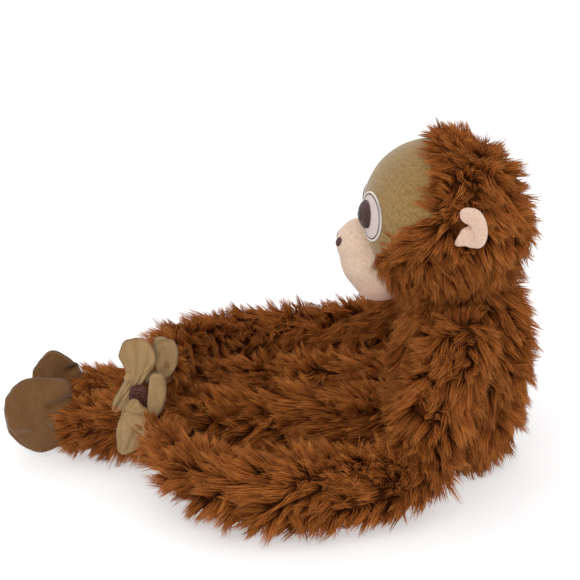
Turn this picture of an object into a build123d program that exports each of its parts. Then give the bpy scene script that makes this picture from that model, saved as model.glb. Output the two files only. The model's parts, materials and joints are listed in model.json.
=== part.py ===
from build123d import *
import os

# A hanging orangutan plush, sitting with its legs straight out in front and its hands
# fastened together over its shins. Millimetres, +Z up. It faces -Y and its left is +X.
# The origin is on the floor, under the middle of its seat.

os.makedirs("parts", exist_ok=True)

# ---------------------------------------------------------------- driving dimensions
CLEARANCE = 0.35             # between pieces that turn on each other
SEAM_GAP = 0.3               # between a cover and what fills it
LIMB_GAP = 0.9               # the same in the limbs, whose surfaces are less exact
STATION_SPACING = 13         # between the circles that a limb is lofted through
ROUNDING = ((0.95, 0.31), (0.8, 0.6), (0.45, 0.89))   # a limb's end: (out, across), of its radius
LEFT = 1
RIGHT = -1
SIDE_NAME = {LEFT: "left", RIGHT: "right"}

# torso: a pear-shaped bag that stands on a flat seat
TORSO_HEIGHT = 134
SEAT_RADIUS = 31
BELLY_RADIUS = 46
BELLY_HEIGHT = 46
CHEST_RADIUS = 41
CHEST_HEIGHT = 96
NECK_RADIUS = 35
TORSO_PILE = 9               # thickness of the fur fabric, backing and pile together

# bean bag inside the seat
BEAN_BAG_RADIUS = 20
BEAN_BAG_HEIGHT = 26
BEAN_BAG_CLOTH = 1.2

# head
HEAD_CENTRE = (0, -15, 180)
HEAD_FUR_RADIUS = 61
FACE_RADIUS = 54.5
HEAD_STUFFING_RADIUS = 47
FACE_HALF_WIDTH = 42
FACE_HALF_HEIGHT = 48
FACE_MIDDLE = 187
FACE_DEPTH = 90              # how far the face cutter reaches, front to back

# muzzle: an egg that leans back towards the chin, as balls, each (x, y, z, radius)
MUZZLE = [(0, -70, 151, 22), (0, -66, 145, 22.3), (0, -61, 139, 21)]
MUZZLE_CLOTH = 2.5
NOSTRIL_SPACING = 11
NOSTRIL_RISE = 165

# eyes
EYE_PATCH_PLACE = (20, 180)
EYE_PATCH_SIZE = (15.5, 19)
EYE_PLACE = (17.5, 181)
EYE_SIZE = (7.5, 10)
PATCH_CLOTH = 1.5
EYE_CLOTH = 1.8

# ears
EAR_PLACE = (58, 1, 191)
EAR_RADIUS = 14
EAR_LINING_RADIUS = 10.5
EAR_BACK = 3.5
EAR_LINING = 2
EAR_FACING = (0.8, -0.6, 0)

# arms: joint centres and the balls along them, each (x, y, z, radius)
SHOULDER = (60, -2, 112)
SHOULDER_BALL = 15
SHOULDER_STUB = 9
ELBOW_BALL = 20.5
ELBOW_CUP = 28.5
ARM_PILE = 7
UPPER_ARM = {
    LEFT: [(60, -2, 112, 14), (64, -7, 101, 14.5), (74, -18, 76, 18.5), (88, -34, 36, 17)],
    RIGHT: [(-60, -2, 112, 14), (-66, -12, 103, 14.5), (-77, -32, 87, 18.5), (-92, -60, 64, 17)],
}
FOREARM = {
    LEFT: [
        (88, -34, 36, ELBOW_BALL),
        (112, -84, 33, 20),
        (118, -132, 32, 20),
        (97, -178, 33, 17),
        (54, -204, 36, 12.5),
    ],
    RIGHT: [
        (-92, -60, 64, ELBOW_BALL),
        (-106, -104, 50, 19),
        (-104, -148, 46, 18),
        (-68, -186, 54, 15),
        (-20, -203, 65, 13),
        (24, -205, 69, 12),
    ],
}

# hands: flat mitts that stand on edge, palm to palm at the clasp
CLASP_X = 40                 # plane in which the two palms are fastened
WRIST_BALL = 11
WRIST_END = 7                # how far before the wrist a forearm stops
HAND_CLOTH = 2
HAND_FILLING = 7
PAD_THICKNESS = 1.2
PAD_RADIUS = 7
PAD_PLACE = (-223, 57)
HAND_PLACE = {LEFT: (-225, 46), RIGHT: (-226, 69)}
HAND_SIZE = {LEFT: (14.5, 22), RIGHT: (16, 22)}
THUMB_PLACE = {LEFT: (-207, 63), RIGHT: (-206, 89)}
THUMB_SIZE = (4.5, 11)
THUMB_TILT = -25

# legs: straight sausages from the front of the seat to the ankles
HIP = {LEFT: (25, -52, 38), RIGHT: (-25, -52, 38)}
ANKLE = {LEFT: (22, -266, 25), RIGHT: (-22, -264, 28)}
HIP_BALL = 18.5
THIGH_RADIUS = 19.5
SHIN_RADIUS = 16.5
LEG_PILE = 6.5
ANKLE_BALL = 12
LEG_END = 8                  # how far before the ankle a leg stops

# feet: flat mitts on edge, soles facing each other
FOOT_PLACE = {LEFT: (-291, 26), RIGHT: (-288, 38)}
FOOT_SIZE = (19, 24)
FOOT_CLOTH = 2
FOOT_FILLING = 12
TOE_PLACE = {LEFT: (-277, 51), RIGHT: (-274, 63)}
TOE_SIZE = (6.5, 9)
TOE_TILT = 35


def save(part, name):
    """Label a finished piece and write it."""
    part.label = name
    export_step(part, f"parts/{name}.step")


def at_side(point, side):
    """A point given for the left side, moved to the side asked for."""
    return (side * point[0], *point[1:])


def add_ball(point, radius, mode=Mode.ADD, seam_turn=0):
    """Add or cut a ball in the open part; seam_turn turns the seam of its surface about Z."""
    with Locations(point):
        Sphere(radius, rotation=(0, 0, seam_turn), mode=mode)


def radius_along(balls, share):
    """Radius of a limb at a share of its length, between the balls on either side."""
    middles = [Vector(*point) for *point, radius in balls]
    reached = [0]
    for before, after in zip(middles, middles[1:]):
        reached.append(reached[-1] + (after - before).length)
    place = share * reached[-1]
    for index in range(len(balls) - 1):
        if place <= reached[index + 1]:
            part_way = (place - reached[index]) / (reached[index + 1] - reached[index])
            return balls[index][3] + part_way * (balls[index + 1][3] - balls[index][3])
    return balls[-1][3]


def make_tube(balls, inset=0):
    """Make a bent limb with rounded ends: a loft through circles across its middle line."""
    with BuildLine() as middle_line:
        Spline(*[tuple(point) for *point, radius in balls])
    path = middle_line.line.edges()[0]
    count = round(path.length / STATION_SPACING)
    stations = []
    for index in range(count + 1):
        share = index / count
        stations.append((path @ share, path % share, radius_along(balls, share) - inset))
    first, last = stations[0], stations[-1]
    start = [(first[0] - first[1] * first[2] * out, first[1], first[2] * across)
             for out, across in ROUNDING]
    end = [(last[0] + last[1] * last[2] * out, last[1], last[2] * across)
           for out, across in reversed(ROUNDING)]
    with BuildPart() as tube:
        for middle, along, radius in start + stations + end:
            with BuildSketch(Plane(origin=middle, x_dir=Vector(0, 0, 1).cross(along), z_dir=along)):
                Circle(radius)
        loft()
    return tube.part


def cut_beyond(point, direction, reach=80):
    """Cut away everything past a plane that faces along a direction."""
    with Locations(Plane(origin=point, z_dir=direction)):
        Box(reach, reach, reach, align=(Align.CENTER, Align.CENTER, Align.MIN), mode=Mode.SUBTRACT)


def end_direction(balls):
    """Unit direction in which a chain of balls ends."""
    last, before = Vector(*balls[-1][:3]), Vector(*balls[-2][:3])
    return (last - before).normalized()


# ---------------------------------------------------------------- torso
def make_torso_shape(inset=0, top=TORSO_HEIGHT):
    """Turn the pear-shaped side of the torso about its upright axis."""
    seat = (SEAT_RADIUS - inset, inset)
    belly = (BELLY_RADIUS - inset, BELLY_HEIGHT)
    chest = (CHEST_RADIUS - inset, CHEST_HEIGHT)
    neck = (NECK_RADIUS - inset, top)
    with BuildPart() as shape:
        with BuildSketch(Plane.XZ):
            with BuildLine():
                Line((0, inset), seat)
                Spline(seat, belly, chest, neck, tangents=((1, 0.6), (-0.3, 1)))
                Line(neck, (0, top))
                Line((0, top), (0, inset))
            make_face()
        revolve(axis=Axis.Z)
    return shape.part


def cut_sockets(extra=0):
    """Cut the seats of the head, the shoulders and the hips out of the open part."""
    add_ball(HEAD_CENTRE, HEAD_FUR_RADIUS + CLEARANCE + extra, Mode.SUBTRACT)
    for side in (LEFT, RIGHT):
        shoulder = at_side(SHOULDER, side)
        add_ball(shoulder, SHOULDER_BALL + CLEARANCE + extra, Mode.SUBTRACT, seam_turn=-90)
        add_ball(HIP[side], HIP_BALL + CLEARANCE + extra, Mode.SUBTRACT, seam_turn=-90)


def add_bean_bag(inset=0):
    """Add the low round bag of beans that weighs the seat down."""
    with Locations((0, 0, TORSO_PILE + SEAM_GAP + inset)):
        Cylinder(
            BEAN_BAG_RADIUS - inset,
            BEAN_BAG_HEIGHT - 2 * inset,
            align=(Align.CENTER, Align.CENTER, Align.MIN),
        )


def make_torso():
    outside = make_torso_shape()
    inside = make_torso_shape(TORSO_PILE, TORSO_HEIGHT + 5)
    with BuildPart() as cover:
        add(outside)
        for side in (LEFT, RIGHT):
            shoulder = at_side(SHOULDER, side)
            with Locations(Plane(origin=(side * 34, *shoulder[1:]), z_dir=(side, 0, 0))):
                Cylinder(SHOULDER_STUB, 18, align=(Align.CENTER, Align.CENTER, Align.MIN))
        add(inside, mode=Mode.SUBTRACT)
        cut_sockets()
    save(cover.part, "torso_cover")

    core = make_torso_shape(TORSO_PILE + SEAM_GAP)
    with BuildPart() as stuffing:
        add(core)
        cut_sockets(SEAM_GAP)
        bag_room = TORSO_PILE + BEAN_BAG_HEIGHT + 2 * SEAM_GAP
        Cylinder(
            BEAN_BAG_RADIUS + SEAM_GAP,
            bag_room,
            align=(Align.CENTER, Align.CENTER, Align.MIN),
            mode=Mode.SUBTRACT,
        )
    save(stuffing.part, "torso_stuffing")

    with BuildPart() as bag_inside:
        add_bean_bag(BEAN_BAG_CLOTH)
    with BuildPart() as bag:
        add_bean_bag()
        add(bag_inside.part, mode=Mode.SUBTRACT)
    save(bag.part, "bean_bag")

    with BuildPart() as beans:
        add_bean_bag(BEAN_BAG_CLOTH + SEAM_GAP)
    save(beans.part, "bean_filling")


# ---------------------------------------------------------------- head
def add_front_oval(place, size, mode, depth=FACE_DEPTH):
    """Add, cut or keep an upright oval rod that runs forwards from the middle of the head."""
    x, z = place
    plane = Plane(origin=(x, HEAD_CENTRE[1] - 5, z), x_dir=(1, 0, 0), z_dir=(0, -1, 0))
    with BuildSketch(plane) as outline:
        Ellipse(*size)
    extrude(outline.sketch, amount=depth, mode=mode)


def add_muzzle(inset=0, mode=Mode.ADD):
    """Add or cut the egg of the muzzle."""
    for *point, radius in MUZZLE:
        add_ball(tuple(point), radius - inset, mode)


def ear_plane(side):
    """Plane of an ear, facing out and forwards, its origin at the middle of the ear."""
    return Plane(origin=at_side(EAR_PLACE, side), z_dir=at_side(EAR_FACING, side))


def add_ear_disc(side, radius, thickness, start=0, mode=Mode.ADD):
    """Add or cut one round layer of an ear."""
    with Locations(ear_plane(side).offset(start)):
        Cylinder(radius, thickness, align=(Align.CENTER, Align.CENTER, Align.MIN), mode=mode)


def make_head():
    with BuildPart() as cover:
        add_ball(HEAD_CENTRE, HEAD_FUR_RADIUS)
        add_ball(HEAD_CENTRE, HEAD_STUFFING_RADIUS + SEAM_GAP, Mode.SUBTRACT)
        face = (FACE_HALF_WIDTH + SEAM_GAP, FACE_HALF_HEIGHT + SEAM_GAP)
        add_front_oval((0, FACE_MIDDLE), face, Mode.SUBTRACT)
        add_muzzle(-SEAM_GAP, Mode.SUBTRACT)
        for side in (LEFT, RIGHT):
            ear_slot = EAR_BACK + EAR_LINING + 3 * SEAM_GAP
            add_ear_disc(side, EAR_RADIUS + SEAM_GAP, ear_slot, -SEAM_GAP, Mode.SUBTRACT)
    save(cover.part, "head_cover")

    with BuildPart() as stuffing:
        add_ball(HEAD_CENTRE, HEAD_STUFFING_RADIUS)
    save(stuffing.part, "head_stuffing")

    with BuildPart() as panel:
        add_ball(HEAD_CENTRE, FACE_RADIUS)
        add_ball(HEAD_CENTRE, HEAD_STUFFING_RADIUS + SEAM_GAP, Mode.SUBTRACT)
        add_front_oval((0, FACE_MIDDLE), (FACE_HALF_WIDTH, FACE_HALF_HEIGHT), Mode.INTERSECT)
    save(panel.part, "face_panel")

    with BuildPart() as muzzle:
        add_muzzle()
        add_muzzle(MUZZLE_CLOTH, Mode.SUBTRACT)
        add_ball(HEAD_CENTRE, FACE_RADIUS + SEAM_GAP, Mode.SUBTRACT)
    save(muzzle.part, "muzzle_cover")

    with BuildPart() as muzzle_filling:
        add_muzzle(MUZZLE_CLOTH + SEAM_GAP)
        add_ball(HEAD_CENTRE, FACE_RADIUS + SEAM_GAP, Mode.SUBTRACT)
    save(muzzle_filling.part, "muzzle_stuffing")

    with BuildPart() as nostrils:
        add_muzzle(-SEAM_GAP - 1)
        add_muzzle(-SEAM_GAP, Mode.SUBTRACT)
        plane = Plane(origin=(0, -60, NOSTRIL_RISE), x_dir=(1, 0, 0), z_dir=(0, -1, 0))
        with BuildSketch(plane) as slots:
            with GridLocations(NOSTRIL_SPACING, 1, 2, 1):
                Ellipse(3.2, 2.6)
        extrude(slots.sketch, amount=40, mode=Mode.INTERSECT)
    save(nostrils.part, "nostrils")

    for side in (LEFT, RIGHT):
        make_eye(side)
        make_ear(side)


def make_eye(side):
    patch_top = FACE_RADIUS + SEAM_GAP + PATCH_CLOTH
    with BuildPart() as patch:
        add_ball(HEAD_CENTRE, patch_top)
        add_ball(HEAD_CENTRE, FACE_RADIUS + SEAM_GAP, Mode.SUBTRACT)
        add_front_oval(at_side(EYE_PATCH_PLACE, side), EYE_PATCH_SIZE, Mode.INTERSECT)
        add_muzzle(-SEAM_GAP, Mode.SUBTRACT)
    save(patch.part, f"{SIDE_NAME[side]}_eye_patch")

    with BuildPart() as eye:
        add_ball(HEAD_CENTRE, patch_top + 0.1 + EYE_CLOTH)
        add_ball(HEAD_CENTRE, patch_top + 0.1, Mode.SUBTRACT)
        add_front_oval(at_side(EYE_PLACE, side), EYE_SIZE, Mode.INTERSECT)
    save(eye.part, f"{SIDE_NAME[side]}_eye")


def make_ear(side):
    with BuildPart() as back:
        add_ear_disc(side, EAR_RADIUS, EAR_BACK)
        add_ball(HEAD_CENTRE, HEAD_STUFFING_RADIUS + SEAM_GAP, Mode.SUBTRACT)
    save(back.part, f"{SIDE_NAME[side]}_ear")

    with BuildPart() as lining:
        add_ear_disc(side, EAR_LINING_RADIUS, EAR_LINING, EAR_BACK + 0.1)
        add_ball(HEAD_CENTRE, HEAD_STUFFING_RADIUS + SEAM_GAP, Mode.SUBTRACT)
    save(lining.part, f"{SIDE_NAME[side]}_ear_lining")


# ---------------------------------------------------------------- arms
def make_arm(side):
    name = SIDE_NAME[side]
    elbow = FOREARM[side][0][:3]

    outside, inside = make_tube(UPPER_ARM[side]), make_tube(UPPER_ARM[side], ARM_PILE)
    with BuildPart() as upper_cover:
        add(outside)
        add(inside, mode=Mode.SUBTRACT)
        add_ball(elbow, ELBOW_CUP, Mode.SUBTRACT)
    save(upper_cover.part, f"{name}_upper_arm_cover")

    core = make_tube(UPPER_ARM[side], ARM_PILE + LIMB_GAP)
    with BuildPart() as upper_filling:
        add(core)
        add_ball(elbow, ELBOW_CUP + SEAM_GAP, Mode.SUBTRACT)
    save(upper_filling.part, f"{name}_upper_arm_stuffing")

    wrist = Vector(*FOREARM[side][-1][:3])
    along = end_direction(FOREARM[side])
    outside, inside = make_tube(FOREARM[side]), make_tube(FOREARM[side], ARM_PILE)
    with BuildPart() as fore_cover:
        add(outside)
        add(inside, mode=Mode.SUBTRACT)
        cut_beyond(wrist - along * WRIST_END, along)
        add_ball(wrist, WRIST_BALL + CLEARANCE, Mode.SUBTRACT)
    save(fore_cover.part, f"{name}_forearm_cover")

    core = make_tube(FOREARM[side], ARM_PILE + LIMB_GAP)
    with BuildPart() as fore_filling:
        add(core)
        cut_beyond(wrist - along * (WRIST_END + 4), along)
        add_ball(wrist, WRIST_BALL + CLEARANCE + SEAM_GAP, Mode.SUBTRACT)
    save(fore_filling.part, f"{name}_forearm_stuffing")


# ---------------------------------------------------------------- hands
def add_oval_slab(x_from, x_to, place, size, tilt=0, mode=Mode.ADD):
    """Add or cut an upright oval slab between two planes across X."""
    with BuildSketch(Plane.YZ.offset(min(x_from, x_to))) as outline:
        with Locations(place):
            Ellipse(*size, rotation=tilt)
    extrude(outline.sketch, amount=abs(x_to - x_from), mode=mode)


def make_hand(side):
    name = SIDE_NAME[side]
    place, size = HAND_PLACE[side], HAND_SIZE[side]
    palm = CLASP_X + side * (CLEARANCE / 2 + PAD_THICKNESS)
    filling_start = palm + side * HAND_CLOTH
    filling_end = filling_start + side * HAND_FILLING
    back = filling_end + side * HAND_CLOTH

    with BuildPart() as palm_panel:
        add_oval_slab(palm, filling_start, place, size)
    save(palm_panel.part, f"{name}_hand_palm")

    inner = (size[0] - HAND_CLOTH, size[1] - HAND_CLOTH)
    with BuildPart() as filling:
        add_oval_slab(filling_start, filling_end, place, inner)
    save(filling.part, f"{name}_hand_stuffing")

    with BuildPart() as back_panel:
        add_oval_slab(filling_start, back, place, size)
        add_oval_slab(filling_start, filling_end, place, inner, mode=Mode.SUBTRACT)
    save(back_panel.part, f"{name}_hand_back")

    with BuildPart() as thumb:
        add_oval_slab(filling_start, filling_end, THUMB_PLACE[side], THUMB_SIZE, THUMB_TILT)
        add_oval_slab(palm, back, place, size, mode=Mode.SUBTRACT)
    save(thumb.part, f"{name}_thumb")

    wrist = FOREARM[side][-1][:3]
    with BuildPart() as cuff:
        add_ball(wrist, WRIST_BALL)
        add_oval_slab(palm, back, place, size, mode=Mode.SUBTRACT)
        add_oval_slab(palm, back, THUMB_PLACE[side], THUMB_SIZE, THUMB_TILT, Mode.SUBTRACT)
    save(cuff.part, f"{name}_wrist_cuff")

    pad_name = "hook_pad" if side == LEFT else "loop_pad"
    with BuildPart() as pad:
        add_oval_slab(palm, palm - side * PAD_THICKNESS, PAD_PLACE, (PAD_RADIUS, PAD_RADIUS + 1))
    save(pad.part, f"{name}_{pad_name}")


# ---------------------------------------------------------------- legs
def leg_balls(side):
    """The balls along a leg: the hip, the thigh, the shin and the end by the ankle."""
    hip, ankle = Vector(*HIP[side]), Vector(*ANKLE[side])
    thigh = hip + (ankle - hip) * 0.3
    shin = hip + (ankle - hip) * 0.7
    end = ankle - (ankle - hip).normalized() * LEG_END
    return [
        (*hip, HIP_BALL - CLEARANCE),
        (*thigh, THIGH_RADIUS),
        (*shin, SHIN_RADIUS),
        (*end, SHIN_RADIUS - 0.5),
    ]


def make_leg(side):
    name = SIDE_NAME[side]
    hip, ankle = Vector(*HIP[side]), Vector(*ANKLE[side])
    along = (ankle - hip).normalized()

    balls = leg_balls(side)
    outside, inside = make_tube(balls), make_tube(balls, LEG_PILE)
    with BuildPart() as cover:
        add(outside)
        add(inside, mode=Mode.SUBTRACT)
        cut_beyond(ankle - along * LEG_END, along)
        add_ball(ankle, ANKLE_BALL + CLEARANCE, Mode.SUBTRACT)
    save(cover.part, f"{name}_leg_cover")

    core = make_tube(balls, LEG_PILE + LIMB_GAP)
    with BuildPart() as filling:
        add(core)
        cut_beyond(ankle - along * (LEG_END + 4), along)
        add_ball(ankle, ANKLE_BALL + CLEARANCE + SEAM_GAP, Mode.SUBTRACT)
    save(filling.part, f"{name}_leg_stuffing")


def make_foot(side):
    name = SIDE_NAME[side]
    place = FOOT_PLACE[side]
    middle = ANKLE[side][0]
    half = FOOT_FILLING / 2
    sole = middle - side * (half + FOOT_CLOTH)
    upper = middle + side * (half + FOOT_CLOTH)
    inner = (FOOT_SIZE[0] - FOOT_CLOTH, FOOT_SIZE[1] - FOOT_CLOTH)

    with BuildPart() as sole_panel:
        add_oval_slab(sole, middle - side * half, place, FOOT_SIZE)
    save(sole_panel.part, f"{name}_foot_sole")

    with BuildPart() as upper_panel:
        add_oval_slab(middle - side * half, upper, place, FOOT_SIZE)
        add_oval_slab(middle - half, middle + half, place, inner, mode=Mode.SUBTRACT)
    save(upper_panel.part, f"{name}_foot_upper")

    with BuildPart() as filling:
        add_oval_slab(middle - half, middle + half, place, inner)
    save(filling.part, f"{name}_foot_stuffing")

    with BuildPart() as toe:
        add_oval_slab(middle - half, middle + half, TOE_PLACE[side], TOE_SIZE, TOE_TILT)
        add_oval_slab(sole, upper, place, FOOT_SIZE, mode=Mode.SUBTRACT)
    save(toe.part, f"{name}_big_toe")

    with BuildPart() as cuff:
        add_ball(ANKLE[side], ANKLE_BALL)
        add_oval_slab(sole, upper, place, FOOT_SIZE, mode=Mode.SUBTRACT)
        add_oval_slab(sole, upper, TOE_PLACE[side], TOE_SIZE, TOE_TILT, Mode.SUBTRACT)
    save(cuff.part, f"{name}_ankle_cuff")


make_torso()
make_head()
for hand_side in (LEFT, RIGHT):
    make_arm(hand_side)
    make_hand(hand_side)
    make_leg(hand_side)
    make_foot(hand_side)
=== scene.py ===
"""A sitting orangutan plush: shaggy fur, smooth face, suede hands fastened over its shins.

Lengths in this script are millimetres, in the frame of the CAD model; meshes are scaled to metres
when they are made. The toy faces -Y and its left side is +X.
"""

import json
import math

import bmesh
import bpy
import numpy as np
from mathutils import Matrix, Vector
from mathutils.bvhtree import BVHTree
from mathutils.kdtree import KDTree


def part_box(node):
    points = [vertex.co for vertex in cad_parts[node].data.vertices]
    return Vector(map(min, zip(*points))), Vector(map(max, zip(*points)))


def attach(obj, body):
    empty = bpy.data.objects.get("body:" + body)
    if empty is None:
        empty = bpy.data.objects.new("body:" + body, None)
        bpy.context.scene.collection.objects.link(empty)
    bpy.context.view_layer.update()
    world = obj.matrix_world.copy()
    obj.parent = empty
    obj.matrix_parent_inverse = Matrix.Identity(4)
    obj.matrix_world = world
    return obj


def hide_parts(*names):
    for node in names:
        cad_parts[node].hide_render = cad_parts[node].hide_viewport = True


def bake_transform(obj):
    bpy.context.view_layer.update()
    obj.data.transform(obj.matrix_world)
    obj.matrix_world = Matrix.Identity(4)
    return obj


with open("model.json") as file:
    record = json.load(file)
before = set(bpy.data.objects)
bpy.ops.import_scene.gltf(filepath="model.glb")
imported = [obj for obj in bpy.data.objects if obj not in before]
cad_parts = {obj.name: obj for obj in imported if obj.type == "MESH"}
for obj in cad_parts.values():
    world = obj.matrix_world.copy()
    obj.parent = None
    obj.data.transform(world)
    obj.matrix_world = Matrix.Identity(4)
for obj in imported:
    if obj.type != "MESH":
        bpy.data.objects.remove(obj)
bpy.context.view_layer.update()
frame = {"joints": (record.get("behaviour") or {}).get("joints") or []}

MM = 0.001
SIDES = (("left", 1), ("right", -1))
LEFT, AHEAD, UP = np.array([1.0, 0, 0]), np.array([0, -1.0, 0]), np.array([0, 0, 1.0])
DOWN = -UP
GOLDEN_ANGLE = 2.399963    # spreads roots evenly round an axis
rng = np.random.default_rng(11)

# ---- driving sizes
FUR_DENSITY = 1.0    # strands per square millimetre
STRAND_HALF_WIDTH = 0.34
STRANDS_PER_TUFT = 16
TUFTS_PER_LOCK = 6
MOST_STRANDS = 11800    # in one piece
FLOOR_GAP = 0.6    # lowest that a hair or a foot may lie
LOWEST = 0.1    # lowest point of anything

HEAD_CENTRE = np.array([0.0, -15.0, 180.0])
HEAD_SKIN_RADIUS = 51.0
FACE_RADIUS = 54.5
FACE_OVAL = (51.0, 55.0, 46.0, 200.0)    # half width, half heights up and down, middle
FACE_BACK = -21.0    # Y at which the crown fur starts

# Round forms: rows of X, Y, Z and radius.
MUZZLE = [(0, -70.5, 158, 17.5), (0, -65, 148, 20.7), (0, -58.5, 137.5, 20)]
TORSO = [(0, 0, 134, 22), (0, 0, 124, 30), (0, 0, 96, 38), (0, -1, 72, 40.5), (0, -4, 46, 40),
         (0, -7, 24, 35), (0, -8, 9, 29), (0, -8, 2, 24)]
ARM = {
    "left": [(60, -2, 112, 15), (64, -7, 101, 15.5), (74, -18, 74, 16), (88, -33, 33, 16.5),
             (109, -82, 30, 17), (114, -132, 30, 16.5), (95, -178, 32, 13), (54, -204, 36, 8)],
    "right": [(-60, -2, 112, 15), (-66, -12, 101, 15), (-77, -32, 80, 15), (-92, -60, 54, 15),
              (-104, -104, 39.5, 15), (-101, -148, 38, 14.5), (-68, -186, 48, 12),
              (-20, -203, 63, 9), (24, -205, 69, 7.5)],
}


# ---- small helpers
def unit(v):
    """Vectors of length one."""
    v = np.asarray(v, float)
    return v / np.maximum(np.linalg.norm(v, axis=-1, keepdims=True), 1e-9)


def along_surface(ways, normal):
    """Directions brought into the surface that has these normals."""
    return unit(ways - normal * np.sum(ways * normal, axis=1)[:, None])


def smoothstep(a, b, x):
    """0 before a, 1 after b, with an even turn between."""
    t = np.clip((x - a) / (b - a), 0, 1)
    return t * t * (3 - 2 * t)


def joint_place(name):
    """Where a joint turns, in millimetres."""
    joint = next(j for j in frame["joints"] if j["name"] == name)
    return np.array(joint["pos_m"], float) / MM


def box_mm(node):
    """Middle and half size of a CAD node, in millimetres."""
    low, high = (np.array(c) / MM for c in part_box(node))
    return (low + high) / 2, (high - low) / 2


def add_object(name, data):
    """A new object in the scene."""
    obj = bpy.data.objects.new(name, data)
    bpy.context.collection.objects.link(obj)
    return obj


def mesh_object(name, points, faces):
    """A mesh piece from points in millimetres and faces that all have the same number of corners."""
    points = np.asarray(points, float).reshape(-1, 3) * MM
    faces = np.asarray(faces, np.int32)
    corners = faces.shape[1]
    mesh = bpy.data.meshes.new(name)
    mesh.vertices.add(len(points))
    mesh.vertices.foreach_set("co", points.ravel())
    mesh.loops.add(faces.size)
    mesh.loops.foreach_set("vertex_index", faces.ravel())
    mesh.polygons.add(len(faces))
    mesh.polygons.foreach_set("loop_start", np.arange(0, faces.size, corners, dtype=np.int32))
    mesh.shade_smooth()
    mesh.update(calc_edges=True)
    return add_object(name, mesh)


def ring_mesh(name, rings, smooth_caps=True):
    """A closed mesh piece from rings of points, with a cap on the first ring and on the last."""
    rings = np.asarray(rings, float)
    grid = np.arange(rings.size // 3).reshape(rings.shape[:2])
    ahead = np.roll(grid, -1, axis=1)
    quads = np.stack([grid[:-1], ahead[:-1], ahead[1:], grid[1:]], axis=-1).reshape(-1, 4)
    obj = mesh_object(name, rings, quads)
    build = bmesh.new()
    build.from_mesh(obj.data)
    build.verts.ensure_lookup_table()
    for ring in (grid[0][::-1], grid[-1]):
        build.faces.new([build.verts[i] for i in ring]).smooth = smooth_caps
    bmesh.ops.recalc_face_normals(build, faces=build.faces)
    build.to_mesh(obj.data)
    build.free()
    return obj


def points_of(obj):
    """The points of a mesh piece, in millimetres."""
    co = np.empty(len(obj.data.vertices) * 3)
    obj.data.vertices.foreach_get("co", co)
    return co.reshape(-1, 3) / MM


def move_points(obj, points):
    """Gives a mesh piece new points, in millimetres."""
    obj.data.vertices.foreach_set("co", (np.asarray(points) * MM).ravel())
    obj.data.update()


def finish_piece(obj, material, hold, nodes=()):
    """Material, the body that it follows, and the CAD nodes that it stands for; a piece held between two
    bodies at a joint only has its place baked into its mesh.
    """
    obj.data.materials.clear()
    obj.data.materials.append(material)
    if isinstance(hold, str):
        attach(obj, hold)
    else:
        first, second, start, end = hold
        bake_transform(obj)
    if nodes:
        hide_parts(*nodes)
    return obj


def apply_modifier(obj, kind, **settings):
    """Adds one modifier to a mesh piece and makes its result the piece's own mesh."""
    modifier = obj.modifiers.new(kind.lower(), kind)
    for key, value in settings.items():
        setattr(modifier, key, value)
    bpy.context.view_layer.update()
    shape = bpy.data.meshes.new_from_object(obj.evaluated_get(bpy.context.evaluated_depsgraph_get()))
    obj.modifiers.clear()
    obj.data = shape
    shape.shade_smooth()
    return obj


def joined(name, objects):
    """Several mesh pieces as one."""
    build = bmesh.new()
    for part in objects:
        build.from_mesh(part.data)
        bpy.data.objects.remove(part)
    mesh = bpy.data.meshes.new(name)
    build.to_mesh(mesh)
    build.free()
    mesh.shade_smooth()
    return add_object(name, mesh)


# ---- materials
def colour(red, green, blue):
    """A linear colour from screen values."""
    def linear(c):
        c /= 255
        return c / 12.92 if c <= 0.04045 else ((c + 0.055) / 1.055) ** 2.4
    return (linear(red), linear(green), linear(blue), 1)


class Look:
    """A Principled material and short ways to wire nodes into it."""

    def __init__(self, name, roughness, sheen=0.0, specular=0.3):
        self.material = bpy.data.materials.new(name)
        self.material.use_nodes = True
        self.tree = self.material.node_tree
        self.shader = self.tree.nodes["Principled BSDF"]
        self.shader.inputs["Roughness"].default_value = roughness
        self.shader.inputs["Specular IOR Level"].default_value = specular
        self.shader.inputs["Sheen Weight"].default_value = sheen
        self.shader.inputs["Sheen Roughness"].default_value = 0.5

    def node(self, kind, inputs=None, **settings):
        node = self.tree.nodes.new(kind)
        for key, value in settings.items():
            setattr(node, key, value)
        for key, value in (inputs or {}).items():
            if isinstance(value, bpy.types.NodeSocket):
                self.tree.links.new(value, node.inputs[key])
            else:
                node.inputs[key].default_value = value
        return node

    def place(self):
        return self.node("ShaderNodeTexCoord").outputs["Object"]

    def noise(self, scale, detail=3.0, where=None, distortion=0.0):
        inputs = {"Scale": scale, "Detail": detail, "Distortion": distortion}
        inputs["Vector"] = where or self.place()
        return self.node("ShaderNodeTexNoise", inputs).outputs["Fac"]

    def cells(self, scale):
        inputs = {"Scale": scale, "Vector": self.place()}
        return self.node("ShaderNodeTexVoronoi", inputs).outputs["Distance"]

    def ramp(self, value, *stops):
        ramp = self.node("ShaderNodeValToRGB", {"Fac": value})
        elements = ramp.color_ramp.elements
        while len(elements) < len(stops):
            elements.new(0.5)
        for element, (position, tint) in zip(elements, stops):
            element.position = position
            element.color = tint
        return ramp.outputs["Color"]

    def mix(self, share, first, second, kind="MIX"):
        inputs = {0: share, 6: first, 7: second}        # the sockets for colours
        return self.node("ShaderNodeMix", inputs, data_type="RGBA", blend_type=kind).outputs[2]

    def math(self, kind, first, second):
        return self.node("ShaderNodeMath", {0: first, 1: second}, operation=kind).outputs[0]

    def paint(self, socket):
        self.tree.links.new(socket, self.shader.inputs["Base Color"])

    def bump(self, height, strength, distance):
        inputs = {"Height": height, "Strength": strength, "Distance": distance}
        node = self.node("ShaderNodeBump", inputs)
        self.tree.links.new(node.outputs["Normal"], self.shader.inputs["Normal"])


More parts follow.
